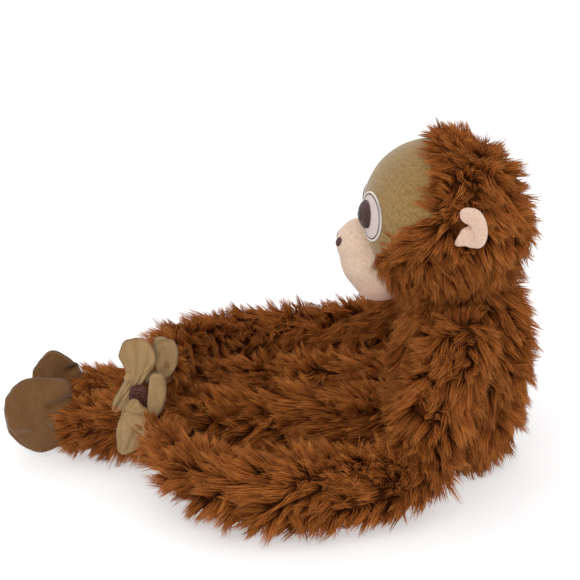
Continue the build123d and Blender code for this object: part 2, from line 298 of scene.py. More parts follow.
def fur_look():
    """Each hair runs from a dark root to a light tip, the tip lightened as painted rim light; its tone is a
    number of its own.
    """
    look = Look("fur", roughness=0.7, specular=0.12)
    uv = look.node("ShaderNodeUVMap", uv_map="OFBake").outputs["UV"]
    parts = look.node("ShaderNodeSeparateXYZ", {"Vector": uv})
    # Along the hair: hair colour, with the tips lightened as painted rim light.
    along = look.ramp(parts.outputs["X"], (0.0, colour(98, 52, 22)), (0.3, colour(150, 86, 36)),
                      (0.7, colour(194, 117, 53)), (1.0, colour(214, 143, 78)))
    tone = look.ramp(parts.outputs["Y"], (0.0, colour(182, 166, 154)), (0.45, colour(226, 216, 206)),
                     (0.8, colour(250, 246, 240)), (1.0, colour(255, 255, 252)))
    look.paint(look.mix(1.0, along, tone, "MULTIPLY"))
    return look.material


def backing_look():
    """The knitted cloth that the hair grows from, seen only in the partings."""
    look = Look("fur_backing", roughness=1.0, specular=0.0)
    knit = look.cells(900.0)
    look.paint(look.ramp(knit, (0.0, colour(66, 32, 14)), (1.0, colour(104, 54, 26))))
    look.bump(knit, 0.5, 0.0004)
    return look.material


def plush_look(name, light, dark, flush=None, flush_height=None):
    """Short-pile plush: a fine nap over broad brushed patches, with an optional flush low down."""
    look = Look(name, roughness=0.92, sheen=0.35, specular=0.15)
    nap = look.noise(1500.0, 2.0)
    heather = look.noise(520.0, 4.0, distortion=0.4)
    patches = look.noise(110.0, 3.0, distortion=0.6)
    tint = look.mix(look.ramp(heather, (0.32, (0, 0, 0, 1)), (0.62, (1, 1, 1, 1))), dark, light)
    tint = look.mix(look.math("MULTIPLY", patches, 0.85), tint, light)
    tint = look.mix(look.math("MULTIPLY", nap, 0.3), tint, dark)
    if flush:
        height = look.node("ShaderNodeSeparateXYZ", {"Vector": look.place()}).outputs["Z"]
        low, high = flush_height
        inputs = {"Value": height, "From Min": high * MM, "From Max": low * MM}
        share = look.node("ShaderNodeMapRange", inputs).outputs["Result"]
        tint = look.mix(look.math("MULTIPLY", share, 0.75), tint, flush)
    look.paint(tint)
    pile = look.math("MULTIPLY", look.noise(420.0, 2.0), 0.6)
    look.bump(look.math("ADD", nap, pile), 0.55, 0.0006)
    return look.material


def suede_look(name, light, dark):
    """Brushed suede cloth: streaky nap, rubbed lighter patches, darker pores."""
    look = Look(name, roughness=0.9, sheen=0.2, specular=0.15)
    stretched = look.node("ShaderNodeMapping", {"Vector": look.place(), "Scale": (1.0, 1.0, 0.3)})
    streaks = look.noise(620.0, 4.0, stretched.outputs["Vector"], 0.8)
    patches = look.noise(75.0, 4.0, distortion=1.2)
    pores = look.noise(2400.0, 1.0)
    tint = look.mix(streaks, dark, light)
    tint = look.mix(look.math("MULTIPLY", patches, 0.8), tint, light)
    look.paint(look.mix(look.math("MULTIPLY", pores, 0.35), tint, dark))
    look.bump(look.math("ADD", pores, streaks), 0.5, 0.0005)
    return look.material


def thread_look(name, tint, shade):
    """Embroidery thread: a slight lustre, with a twist along it."""
    look = Look(name, roughness=0.5, sheen=0.15, specular=0.45)
    twist = look.noise(2600.0, 1.0)
    look.paint(look.mix(twist, shade, tint))
    look.bump(twist, 0.35, 0.0003)
    return look.material


def tape_look(name, light, dark, scale):
    """Hook or loop tape: rows of small dark cells."""
    look = Look(name, roughness=0.7, specular=0.4)
    cells = look.cells(scale)
    look.paint(look.ramp(cells, (0.1, light), (0.7, dark)))
    look.bump(cells, 0.9, 0.0008)
    return look.material


FUR = fur_look()
BACKING = backing_look()
FACE = plush_look("face_plush", colour(158, 127, 74), colour(106, 80, 40))
PEACH = plush_look("peach_plush", colour(226, 199, 176), colour(197, 164, 137),
                   colour(224, 170, 150), (118, 142))
EAR_CLOTH = plush_look("ear_plush", colour(225, 195, 174), colour(202, 162, 138))
PATCH = plush_look("eye_patch", colour(214, 198, 192), colour(192, 172, 166))
HAND_SUEDE = suede_look("hand_suede", colour(178, 146, 100), colour(122, 94, 58))
FOOT_SUEDE = suede_look("foot_suede", colour(126, 88, 50), colour(78, 50, 26))
HAND_THREAD = thread_look("hand_thread", colour(150, 120, 78), colour(92, 68, 40))
FOOT_THREAD = thread_look("foot_thread", colour(112, 78, 44), colour(72, 46, 24))
BROWN_THREAD = thread_look("brown_thread", colour(94, 60, 46), colour(58, 34, 25))
DARK_THREAD = thread_look("dark_thread", colour(44, 28, 22), colour(22, 14, 11))
WHITE_THREAD = thread_look("white_thread", colour(246, 240, 234), colour(214, 202, 194))
HOOK_TAPE = tape_look("hook_tape", colour(122, 66, 52), colour(58, 28, 22), 900.0)
LOOP_TAPE = tape_look("loop_tape", colour(132, 74, 58), colour(70, 34, 26), 1500.0)


# ---- round limbs
def curve_through(points, spacing):
    """Evenly spaced points of a smooth curve through the ones given; extra columns follow along."""
    points = np.asarray(points, float)
    padded = np.vstack([2 * points[0] - points[1], points, 2 * points[-1] - points[-2]])
    t = np.linspace(0, 1, 24, endpoint=False)[:, None]
    dense = []
    for p0, p1, p2, p3 in zip(padded, padded[1:], padded[2:], padded[3:]):
        m1, m2 = (p2 - p0) / 2, (p3 - p1) / 2
        dense.append((2 * t**3 - 3 * t**2 + 1) * p1 + (t**3 - 2 * t**2 + t) * m1
                     + (-2 * t**3 + 3 * t**2) * p2 + (t**3 - t**2) * m2)
    dense = np.vstack(dense + [points[-1:]])
    runs = np.linalg.norm(np.diff(dense[:, :3], axis=0), axis=1)
    length = np.concatenate([[0], np.cumsum(runs)])
    count = max(4, int(length[-1] / spacing))
    wanted = np.linspace(0, length[-1], count + 1)
    return np.column_stack([np.interp(wanted, length, column) for column in dense.T])


class Tube:
    """A round tube through stations: for each a centre, a radius and a direction across."""

    def __init__(self, centre, radius, tangent, across):
        self.centre, self.radius, self.tangent, self.across = centre, radius, tangent, across
        self.over = np.cross(tangent, across)

    def station_at(self, place):
        """The number of the station nearest to a place."""
        return int(np.argmin(np.linalg.norm(self.centre - place, axis=1)))

    def mesh(self, name, around, start=0.0, end=1.0):
        """The tube's mesh between two shares of its stations, closed by flat caps."""
        last = len(self.centre) - 1
        rows = np.arange(int(start * last), int(end * last) + 1)
        angle = np.linspace(0, 2 * math.pi, around, endpoint=False)
        out = (np.cos(angle)[None, :, None] * self.across[rows, None]
               + np.sin(angle)[None, :, None] * self.over[rows, None])
        rings = self.centre[rows, None] + out * self.radius[rows, None, None]
        return ring_mesh(name, rings, smooth_caps=False)


class Limb(Tube):
    """A tube along a curve, with domed or flat ends, that hair can grow on."""

    def __init__(self, points, spacing=2.0, domes=(True, True)):
        line = curve_through(points, spacing)
        centre, radius = line[:, :3], line[:, 3]
        tangent = unit(np.gradient(centre, axis=0))
        rise = np.linspace(0, math.pi / 2, 9)
        if domes[0]:
            back = rise[:0:-1, None]
            centre = np.vstack([centre[:1] - tangent[:1] * radius[0] * np.sin(back), centre])
            radius = np.concatenate([radius[0] * np.cos(back[:, 0]), radius])
            tangent = np.vstack([np.repeat(tangent[:1], len(back), 0), tangent])
        if domes[1]:
            ahead = rise[1:, None]
            centre = np.vstack([centre, centre[-1:] + tangent[-1:] * radius[-1] * np.sin(ahead)])
            radius = np.concatenate([radius, radius[-1] * np.cos(ahead[:, 0])])
            tangent = np.vstack([tangent, np.repeat(tangent[-1:], len(ahead), 0)])
        first = (0.31, 0.17, 0.93) if abs(tangent[0][2]) < 0.9 else (1, 0, 0)
        across = [unit(np.cross(tangent[0], first))]
        for t in tangent[1:]:
            previous = across[-1]
            across.append(unit(previous - t * (previous @ t)))
        super().__init__(centre, np.maximum(radius, 0.25), tangent, np.array(across))

    def roots(self, density):
        """Evenly spread places on the surface: point, outward normal, direction along, station."""
        step = np.diff(self.centre, axis=0)
        run = np.linalg.norm(step, axis=1)
        widen = np.diff(self.radius)
        slope = np.hypot(run, widen)
        area = math.pi * (self.radius[1:] + self.radius[:-1]) * slope
        reach = np.concatenate([[0], np.cumsum(area)])
        count = int(reach[-1] * density)
        wanted = (np.arange(count) + rng.random(count)) / count * reach[-1]
        index = np.clip(np.searchsorted(reach, wanted) - 1, 0, len(area) - 1)
        share = ((wanted - reach[index]) / np.maximum(area[index], 1e-9))[:, None]
        angle = (np.arange(count) * GOLDEN_ANGLE + rng.normal(0, 0.15, count))[:, None]

        def between(values):
            return values[index] * (1 - share) + values[index + 1] * share

        out = unit(between(self.across) * np.cos(angle) + between(self.over) * np.sin(angle))
        along = unit(between(self.tangent))
        radius = between(self.radius[:, None])
        normal = unit(out * (run / slope)[index][:, None] - along * (widen / slope)[index][:, None])
        point = between(self.centre) + out * radius
        return point, normal, along_surface(along, normal), index + share[:, 0]


def inside(points, limb, margin):
    """Which points lie deeper than the margin in a limb."""
    found = np.zeros(len(points), bool)
    for centre, radius in zip(limb.centre[::4], limb.radius[::4]):
        found |= np.sum((points - centre) ** 2, axis=1) < max(radius - margin, 0) ** 2
    return found


# ---- fur
RINGS = np.array([0.0, 0.38, 0.74])    # shares of a hair's length
WIDTHS = np.array([1.0, 0.86, 0.55])
STRAND_POINTS = 3 * len(RINGS) + 1


def strand_faces():
    """The triangles of one hair: a closed, three-sided tapering horn."""
    faces = [(0, 2, 1)]
    for ring in range(len(RINGS) - 1):
        for side in range(3):
            a, b = ring * 3 + side, ring * 3 + (side + 1) % 3
            faces += [(a, b, b + 3), (a, b + 3, a + 3)]
    top = 3 * (len(RINGS) - 1)
    faces += [(top + side, top + (side + 1) % 3, top + 3) for side in range(3)]
    return np.array(faces)


def nearest(places, points):
    """For each point, the index of the nearest place."""
    tree = KDTree(len(places))
    for index, place in enumerate(places):
        tree.insert(place, index)
    tree.balance()
    return np.array([tree.find(point)[1] for point in points])


def grow(point, normal, flow, length, lift, droop, shag):
    """Hairs from their roots: gathered into tufts, and the tufts into locks that lean together.

    Lift stands them up from the surface, droop bends them down, and shag makes locks differ.
    """
    count = len(point)
    length = np.broadcast_to(length, count)
    lift = np.broadcast_to(lift, count)[:, None]
    heads = np.sort(rng.choice(count, max(2, count // STRANDS_PER_TUFT), replace=False))
    lead = np.sort(rng.choice(len(heads), max(2, len(heads) // TUFTS_PER_LOCK), replace=False))
    tuft = nearest(point[heads], point)
    lock = nearest(point[heads][lead], point[heads])
    each_lock, each_tuft = (len(lead), 3), (len(heads), 3)
    sway = rng.normal(0, shag, each_lock)[lock] + rng.normal(0, shag * 0.6, each_tuft)
    curl = rng.normal(0, shag * 0.8, each_lock)[lock] + rng.normal(0, shag * 0.7, each_tuft)
    reach = rng.uniform(0.86, 1.12, len(lead))[lock] * rng.uniform(0.88, 1.1, len(heads))
    aim = unit(normal * lift + flow * (1 - lift) + sway[tuft])
    aim = unit(aim + normal * np.maximum(0, 0.3 - np.sum(aim * normal, 1))[:, None])
    bend = DOWN * droop + flow * 0.3 + curl[tuft]
    own = unit(aim + rng.normal(0, 0.1, (count, 3)))
    size = length * reach[tuft] * rng.uniform(0.78, 1.08, count)
    size *= np.where(rng.random(count) < 0.35, rng.uniform(0.5, 0.8, count), 1)
    gather = rng.uniform(0.3, 0.8, count)[:, None]
    guide = heads[tuft]

    def place(t):
        free = point + size[:, None] * (t * own + 0.5 * t * t * bend)
        led = point[guide] + size[:, None] * (t * aim[guide] + 0.5 * t * t * bend[guide])
        return free + (led - free) * gather * t**1.25

    spine = np.stack([place(t) for t in (*RINGS, 1.0)], axis=1)
    spine[:, :, 2] = np.maximum(spine[:, :, 2], FLOOR_GAP)
    axis = unit(np.gradient(spine, axis=1))
    side = unit(np.cross(axis, rng.normal(size=(count, 1, 3))))
    third = np.cross(axis, side)
    width = STRAND_HALF_WIDTH * rng.uniform(0.75, 1.2, count)
    points = np.empty((count, STRAND_POINTS, 3))
    for ring, share in enumerate(WIDTHS):
        for corner in range(3):
            turn = 2 * math.pi * corner / 3
            offset = side[:, ring] * math.cos(turn) + third[:, ring] * math.sin(turn)
            points[:, ring * 3 + corner] = spine[:, ring] + offset * (width * share)[:, None]
    points[:, -1] = spine[:, -1]
    points[:, :, 2] = np.maximum(points[:, :, 2], LOWEST)
    shade = (rng.normal(0, 0.17, len(lead))[lock] + rng.normal(0, 0.12, len(heads)))[tuft]
    tone = np.clip(0.52 + shade + rng.normal(0, 0.08, count), 0.02, 0.98)
    return points, tone


def plant(name, hairs, hold):
    """Makes the pieces of one stretch of fur, each small enough to be kept whole.

    The UV layer holds the place along a hair and the hair's own tone, for the fur material.
    """
    points, tone = hairs
    parts = math.ceil(len(points) / MOST_STRANDS)
    along = 0.02 + 0.96 * np.concatenate([np.repeat(RINGS, 3), [1.0]])
    for number, chosen in enumerate(np.array_split(np.arange(len(points)), parts)):
        faces = strand_faces()[None] + (np.arange(len(chosen)) * STRAND_POINTS)[:, None, None]
        label = f"{name}_{number + 1}" if parts > 1 else name
        obj = mesh_object(label, points[chosen], faces.reshape(-1, 3))
        uv = np.stack(np.broadcast_arrays(along[None], tone[chosen][:, None]), axis=-1)
        layer = obj.data.uv_layers.new(name="OFBake")
        layer.data.foreach_set("uv", uv.reshape(-1, 2)[faces.ravel()].astype(np.float32).ravel())
        finish_piece(obj, FUR, hold)


# ---- camera, light and floor
def make_camera():
    """The view from the toy's left, a little behind it and above it."""
    azimuth, elevation, distance = math.radians(94), math.radians(24), 1500
    target = Vector((0, -119, 122)) * MM
    flat = math.cos(elevation)
    away = Vector((math.sin(azimuth) * flat, -math.cos(azimuth) * flat, math.sin(elevation)))
    camera = add_object("camera", bpy.data.cameras.new("camera"))
    camera.data.sensor_width = 36
    camera.data.lens = 136.9
    camera.location = target + away * distance * MM
    camera.rotation_euler = (-away).to_track_quat("-Z", "Y").to_euler()
    bpy.context.scene.camera = camera


LIGHTS = [    # name, place, side of the square lamp, watts
    ("key_light", (1150, -500, 1200), 1400, 7.5),
    ("fill_light", (-1000, -500, 1100), 1400, 3),
    ("rim_light", (300, 1100, 1200), 1200, 2.5),
]
LIGHT_TARGET = Vector((0, -120, 100))
SURROUND_LIGHT = 0.85    # strength of the white surround as a light; the camera sees it at 1
FLOOR_GLOW = 0.45
FLOOR_REACH = 6000


def make_studio():
    """A pale floor under a large soft lamp, a weaker one each side, and a white surround."""
    corners = np.array([(-1, -1, 0), (1, -1, 0), (1, 1, 0), (-1, 1, 0)])
    floor = mesh_object("floor", corners * FLOOR_REACH, [(0, 1, 2, 3)])
    look = Look("floor", roughness=0.9)
    look.paint(look.mix(look.noise(30.0, 2.0), colour(206, 206, 206), colour(212, 212, 212)))
    look.shader.inputs["Emission Color"].default_value = (1, 1, 1, 1)
    look.shader.inputs["Emission Strength"].default_value = FLOOR_GLOW
    floor.data.materials.append(look.material)
    for name, place, size, watts in LIGHTS:
        light = add_object(name, bpy.data.lights.new(name, "AREA"))
        light.data.size = size * MM
        light.data.energy = watts
        light.location = Vector(place) * MM
        light.rotation_euler = (LIGHT_TARGET - Vector(place)).to_track_quat("-Z", "Y").to_euler()
    world = bpy.data.worlds.new("studio")
    world.use_nodes = True
    tree = world.node_tree
    surround = tree.nodes["Background"]
    surround.inputs["Color"].default_value = (1, 1, 1, 1)
    seen = tree.nodes.new("ShaderNodeLightPath").outputs["Is Camera Ray"]
    strength = tree.nodes.new("ShaderNodeMath")
    strength.operation = "MULTIPLY_ADD"
    strength.inputs[1].default_value = 1 - SURROUND_LIGHT
    strength.inputs[2].default_value = SURROUND_LIGHT
    tree.links.new(seen, strength.inputs[0])
    tree.links.new(strength.outputs[0], surround.inputs["Strength"])
    bpy.context.scene.world = world
    bpy.context.scene.view_settings.view_transform = "Standard"


make_camera()
make_studio()

# ---- body and limbs
torso = Limb(TORSO, domes=(True, False))
arm = {name: Limb(ARM[name]) for name, _ in SIDES}
leg = {}
for name, side in SIDES:
    hip, ankle = joint_place(f"{name}_hip"), joint_place(f"{name}_ankle")
    leg[name] = Limb([(*(hip + (0, 22, 6)), 16), (*hip, 16.5), (*(hip * 0.72 + ankle * 0.28), 16),
                      (*(hip * 0.3 + ankle * 0.7), 14.5), (*ankle, 12.5), (*(ankle + (0, -6, 0)), 11)])


def make_torso():
    skin = torso.mesh("torso_backing", 40)
    finish_piece(skin, BACKING, "torso",
                 ("torso_cover", "torso_stuffing", "bean_bag", "bean_filling"))
    point, normal, flow, _ = torso.roots(FUR_DENSITY)
    keep = ~(inside(point, arm["left"], 5) | inside(point, arm["right"], 5)
             | inside(point, leg["left"], 3) | inside(point, leg["right"], 3))
    keep &= np.linalg.norm(point - HEAD_CENTRE, axis=1) > HEAD_SKIN_RADIUS - 4
    point, normal, flow = point[keep], normal[keep], flow[keep]
    length = 16 - 3 * smoothstep(20, 0, point[:, 2])
    plant("torso_fur", grow(point, normal, flow, length, lift=0.5, droop=0.3, shag=0.24), "torso")


def cover_limb(limb, stretches, roots, length, **lie):
    """Backing and fur of one limb, in stretches of (name, last station, hold, CAD nodes)."""
    last = len(limb.centre) - 1
    first = 0
    for name, end, hold, nodes in stretches:
        skin = limb.mesh(f"{name}_backing", 26, first / last, end / last)
        finish_piece(skin, BACKING, hold, nodes)
        first = end
    *places, row = roots
    points, tone = grow(*places, length, **lie)
    stretch = np.digitize(row, [end for _, end, _, _ in stretches[:-1]])
    for number, (name, _, hold, _) in enumerate(stretches):
        chosen = stretch == number
        plant(f"{name}_fur", (points[chosen], tone[chosen]), hold)


def limb_roots(limb, bare):
    """A limb's roots outside the torso, up to so many stations before its end."""
    roots = limb.roots(FUR_DENSITY)
    keep = ~inside(roots[0], torso, 4) & (roots[3] < len(limb.centre) - 1 - bare)
    return [column[keep] for column in roots]


def make_arm(name):
    """One tube from the shoulder to the wrist, in stretches over the shoulder, the elbow and the forearm."""
    limb = arm[name]
    last = len(limb.centre) - 1
    shoulder, elbow = (limb.station_at(joint_place(f"{name}_{joint}")) for joint in ("shoulder", "elbow"))
    upper, fore = f"{name}_upper_arm", f"{name}_forearm"
    stretches = [
        (f"{name}_shoulder", (shoulder + elbow) // 2 + 3,
         ("torso", upper, limb.centre[shoulder], limb.centre[shoulder + 10]),
         (f"{upper}_cover", f"{upper}_stuffing")),
        (f"{name}_elbow", (2 * elbow + last) // 3,
         (upper, fore, limb.centre[max(elbow - 8, 0)], limb.centre[min(elbow + 8, last)]),
         (f"{fore}_cover", f"{fore}_stuffing")),
        (f"{name}_forearm", last, fore, ()),
    ]
    point, normal, flow, row = limb_roots(limb, 5)
    away = np.array([0.75 * np.sign(limb.centre[0][0]), -0.1, -0.65])
    combed = smoothstep(4, 20, row)[:, None]
    flow = unit(flow * combed + along_surface(away, normal) * (1 - combed))
    length = 16.5 - 3.5 * smoothstep(last - 30, last - 6, row)
    cover_limb(limb, stretches, (point, normal, flow, row), length, lift=0.57, droop=0.2, shag=0.32)


def make_leg(name):
    """One tube from the hip to the ankle, that bends a little where it leaves the seat."""
    limb = leg[name]
    hip, ankle = joint_place(f"{name}_hip"), joint_place(f"{name}_ankle")
    way = unit(ankle - hip)
    last = len(limb.centre) - 1
    body = f"{name}_leg"
    stretches = [
        (f"{name}_hip", int(last * 0.36), ("torso", body, hip - way * 4, hip + way * 22),
         (f"{body}_cover", f"{body}_stuffing")),
        (f"{name}_shin", last, body, ()),
    ]
    roots = limb_roots(limb, 8)
    length = 16 - 4 * smoothstep(last - 30, last - 8, roots[3])
    cover_limb(limb, stretches, roots, length, lift=0.5, droop=0.15, shag=0.25)


make_torso()
for name, _ in SIDES:
    make_arm(name)
    make_leg(name)


# ---- head
def face_reach(angle):
    """How far the face panel reaches from the front of the head, as an angle, for each way round it."""
    reach = np.linspace(0.2, 1.9, 200)
    x = FACE_RADIUS * np.sin(reach)[None] * np.cos(angle)[:, None]
    y = HEAD_CENTRE[1] - FACE_RADIUS * np.cos(reach)[None]
    z = HEAD_CENTRE[2] + FACE_RADIUS * np.sin(reach)[None] * np.sin(angle)[:, None]
    half_width, half_up, half_down, middle = FACE_OVAL
    half_height = np.where(z > middle, half_up, half_down)
    out = (x / half_width) ** 2 + ((z - middle) / half_height) ** 2 > 1
    out |= np.broadcast_to(y > FACE_BACK, out.shape)
    return reach[np.argmax(out, axis=1)]


def on_head(reach, angle, radius):
    """A point of a sphere about the head's centre: reach from the front, angle round the front."""
    x, z = np.sin(reach) * np.cos(angle), np.sin(reach) * np.sin(angle)
    return HEAD_CENTRE + np.stack([x, -np.cos(reach), z], axis=-1) * radius[:, None]


def brow(reach, angle):
    """How far the forehead stands out from a ball: full at the front, lower towards the crown."""
    full = np.exp(-(((reach - 0.62) / 0.38) ** 2)) - smoothstep(0.95, 1.5, reach)
    return 2.2 * full * np.maximum(np.sin(angle), 0)


def make_face_panel():
    """A domed panel whose edge tucks in under the fur."""
    rings, around = 44, 128
    angle = np.linspace(0, 2 * math.pi, around, endpoint=False)
    reach = face_reach(angle) + 0.05
    share = np.linspace(0, 1, rings + 1)[1:]
    radius = FACE_RADIUS - 5 * smoothstep(0.9, 1.0, share)
    rows = [on_head(reach * s, angle, r + brow(reach * s, angle)) for s, r in zip(share, radius)]
    inner = [on_head(reach * s, angle, np.full(around, FACE_RADIUS - 6.5)) for s in share[::-1]]
    panel = ring_mesh("face_panel_cloth", [*rows, *inner])
    return finish_piece(panel, FACE, "head", ("face_panel",))


def skull_radius(normal):
    """The head's radius each way: a ball, flatter up and back and a little lower at the crown."""
    back = smoothstep(0.8, 1.0, normal @ unit((0, 0.8, 0.6)))
    crown = smoothstep(0.8, 1.0, normal @ unit((0, 0.2, 0.98)))
    return HEAD_SKIN_RADIUS - 5 * back - 0.5 * crown


def make_head_fur():
    poles = [(*(HEAD_CENTRE + UP / 2), HEAD_SKIN_RADIUS), (*(HEAD_CENTRE - UP / 2), HEAD_SKIN_RADIUS)]
    skin = Limb(poles, 0.5).mesh("head_backing", 48)
    ways = unit(points_of(skin) - HEAD_CENTRE)
    move_points(skin, HEAD_CENTRE + ways * skull_radius(ways)[:, None])
    finish_piece(skin, BACKING, "head", ("head_cover", "head_stuffing"))
    count = int(4 * math.pi * HEAD_SKIN_RADIUS**2 * FUR_DENSITY)
    k = np.arange(count)
    height = 1 - 2 * (k + rng.random(count)) / count
    turn = k * GOLDEN_ANGLE + rng.normal(0, 0.1, count)
    flat = np.sqrt(1 - height**2)
    normal = np.stack([flat * np.cos(turn), flat * np.sin(turn), height], axis=1)
    reach = np.arccos(np.clip(-normal[:, 1], -1, 1))
    angle = np.arctan2(normal[:, 2], normal[:, 0])
    past = reach - face_reach(angle)
    keep = past > -0.03
    normal, past = normal[keep], past[keep]
    radius = skull_radius(normal) + 2.2 * (1 - smoothstep(0.0, 0.12, past))
    point = HEAD_CENTRE + normal * radius[:, None]
    keep = ~inside(point, torso, 6)
    for name, side in SIDES:
        ear_root = box_mm(f"{name}_ear")[0] + (-side * 6, 1, 1)
        keep &= np.linalg.norm(point - ear_root, axis=1) > 12
    point, normal, past = point[keep], normal[keep], past[keep]
    front = (1 - smoothstep(0.05, 0.75, past)) * smoothstep(-0.75, 0.1, normal[:, 2])
    crown = smoothstep(0.45, 0.95, normal[:, 2])
    ahead = np.maximum(front, crown * (1 - smoothstep(0.0, 0.8, normal[:, 1])))[:, None]
    away = unit(np.cross(np.cross(normal, AHEAD), normal))
    flow = along_surface(unit(away * ahead + (DOWN - 0.25 * AHEAD) * (1 - ahead)), normal)
    length = 15.5 - 2.5 * (1 - smoothstep(0.0, 0.25, past)) - 1.0 * crown
    lift = 0.48 - 0.16 * (1 - smoothstep(0.0, 0.3, past)) + 0.1 * crown
    plant("head_fur", grow(point, normal, flow, length, lift=lift, droop=0.12, shag=0.27), "head")


def make_muzzle():
    """A soft egg with a seam down its middle."""
    egg = Limb(MUZZLE, 1.0).mesh("muzzle_egg", 72)
    apply_modifier(egg, "REMESH", mode="VOXEL", voxel_size=1.1 * MM, use_smooth_shade=True)
    apply_modifier(egg, "SMOOTH", factor=0.5, iterations=12)
    points = points_of(egg)
    front = unit(points - np.array([0, -55, 145]))
    in_front = smoothstep(-86, -90, points[:, 1] + 0.3 * (points[:, 2] - 150))
    seam = 0.55 * np.exp(-((points[:, 0] / 0.9) ** 2)) * in_front
    move_points(egg, points - front * seam[:, None])
    return finish_piece(egg, PEACH, "head", ("muzzle_cover", "muzzle_stuffing"))


def surface_of(*objects):
    """Where a line from the front meets these pieces: point and normal, in millimetres."""
    trees = []
    for obj in objects:
        faces = [tuple(p.vertices) for p in obj.data.polygons]
        trees.append(BVHTree.FromPolygons([tuple(p) for p in points_of(obj)], faces))

    def drop(x, z):
        hits = [t.ray_cast(Vector((x, -200, z)), Vector((0, 1, 0))) for t in trees]
        hits = [h for h in hits if h[0] is not None]
        best = min(hits, key=lambda h: h[0].y)
        return np.array(best[0]), np.array(best[1])
    return drop


def thread(points, half_width):
    """One stitch: a small round tube through the points, thinner at its ends."""
    radius = half_width * np.array([0.6] + [1.0] * (len(points) - 2) + [0.6])
    tangent = unit(np.gradient(points, axis=0))
    return Tube(points, radius, tangent, unit(np.cross(tangent, (0.3, 1.0, 0.2)))).mesh("thread", 6)


class Oval:
    """An upright oval seen from the front: middle and half sizes in X and Z, mirrored to its side."""

    def __init__(self, side, centre, size, tilt=0.0):
        self.side, self.centre, self.size, self.tilt = side, centre, size, math.radians(tilt)

    def at(self, u, v):
        """X and Z of the point at these shares of the half sizes."""
        x, z = u * self.size[0], v * self.size[1]
        return (self.side * (self.centre[0] + x * math.cos(self.tilt) - z * math.sin(self.tilt)),
                self.centre[1] + x * math.sin(self.tilt) + z * math.cos(self.tilt))

    def round_at(self, angle, share=1.0):
        return self.at(share * math.cos(angle), share * math.sin(angle))

    def grown(self, margin):
        """An upright oval whose edge lies this much further out."""
        return Oval(self.side, self.centre, (self.size[0] + margin, self.size[1] + margin))


def satin_patch(name, drop, oval, height, spacing=0.75, rise=0.35):
    """A domed oval filled with rows of thread that run across it."""
    stitches = []
    rows = int(2 * oval.size[1] / spacing)
    for row in range(rows):
        v = -1 + 2 * (row + 0.5) / rows
        width = math.sqrt(max(1 - v * v, 0.01))
        points = []
        for u in np.linspace(-1, 1, 9):
            place, normal = drop(*oval.at(u * width, v))
            dome = height * math.sqrt(max(1 - (u * width) ** 2 - v * v, 0))
            points.append(place + normal * (dome + rise - 0.5 * (abs(u) > 0.99)))
        stitches.append(thread(np.array(points), spacing * 0.56))
    return joined(name, stitches)


def satin_border(name, drop, oval, width, half_width, count=150):
    """A ring of short stitches laid across the edge of an oval."""
    stitches = []
    for number in range(count):
        angle = 2 * math.pi * number / count
        points = []
        for across in (-1, -0.5, 0, 0.5, 1):
            place, normal = drop(*oval.grown(across * width / 2).round_at(angle))
            points.append(place + normal * (0.9 - 0.75 * across * across))
        stitches.append(thread(np.array(points), half_width))
    return joined(name, stitches)


def domed_oval(name, drop, oval, height, thickness):
    """A thin oval of cloth laid on the face, slightly domed, closed underneath."""
    rings = []
    turns = np.linspace(0, 2 * math.pi, 64, endpoint=False)
    for share in np.linspace(0.04, 1, 14):
        rise = (thickness + height * (1 - share**2)) * (1 if share < 1 else 0.1)
        laid = [drop(*oval.round_at(angle, share)) for angle in turns]
        rings.append([place + normal * rise for place, normal in laid])
    return ring_mesh(name, rings)


def make_eyes(drop):
    """For each eye: a pale patch with a satin-stitched border, and a domed embroidered eye."""
    for name, side in SIDES:
        middle, half = box_mm(f"{name}_eye_patch")
        oval = Oval(side, (abs(middle[0]), middle[2] + 5.7), (half[0] * 0.96, half[2] * 0.84))
        patch = domed_oval(f"{name}_eye_patch_cloth", drop, oval, 0.5, 0.6)
        finish_piece(patch, PATCH, "head", (f"{name}_eye_patch",))
        border = satin_border(f"{name}_eye_patch_border", drop, oval, 1.2, 0.36)
        finish_piece(border, WHITE_THREAD, "head")
        line = satin_border(f"{name}_eye_patch_line", drop, oval.grown(-1.2), 0.6, 0.24)
        finish_piece(line, BROWN_THREAD, "head")
        on_patch = surface_of(patch)
        middle, half = box_mm(f"{name}_eye")
        x, z = abs(middle[0]) + 0.6, middle[2] + 5.4
        width, height = half[0] + 0.6, half[2] * 0.92
        dome = 3.0 + 1.2 * side                 # the eye that shows in the main view bulges more
        iris = satin_patch(f"{name}_iris", on_patch, Oval(side, (x, z), (width, height)), dome)
        finish_piece(iris, BROWN_THREAD, "head", (f"{name}_eye",))
        oval = Oval(side, (x, z), (width / 2, height / 2))
        pupil = satin_patch(f"{name}_pupil", on_patch, oval, 0.8, 0.6, dome - 0.2)
        finish_piece(pupil, DARK_THREAD, "head")
        oval = Oval(side, (x - side * 1.6, z + 2.6), (1.1, 1.3))
        glint = satin_patch(f"{name}_glint", on_patch, oval, 0.4, 0.5, dome + 0.6)
        finish_piece(glint, WHITE_THREAD, "head")


def make_nostrils(drop):
    z = box_mm("nostrils")[0][2] - 3.4
    pair = [satin_patch(f"{name}_nostril", drop, Oval(side, (7.2, z), (2.7, 3.5), -30), 0.7, 0.6)
            for name, side in SIDES]
    stitches = joined("nostril_stitches", pair)
    finish_piece(stitches, BROWN_THREAD, "head", ("nostrils",))


panel = make_face_panel()
make_head_fur()
muzzle = make_muzzle()
make_eyes(surface_of(panel))
make_nostrils(surface_of(muzzle))

# ---- sewn bags: ears, hands and feet
def in_plane(centre, along, up):
    """Places points of a plane that has these two directions."""
    return lambda u, v: centre + np.outer(u, along) + np.outer(v, up)


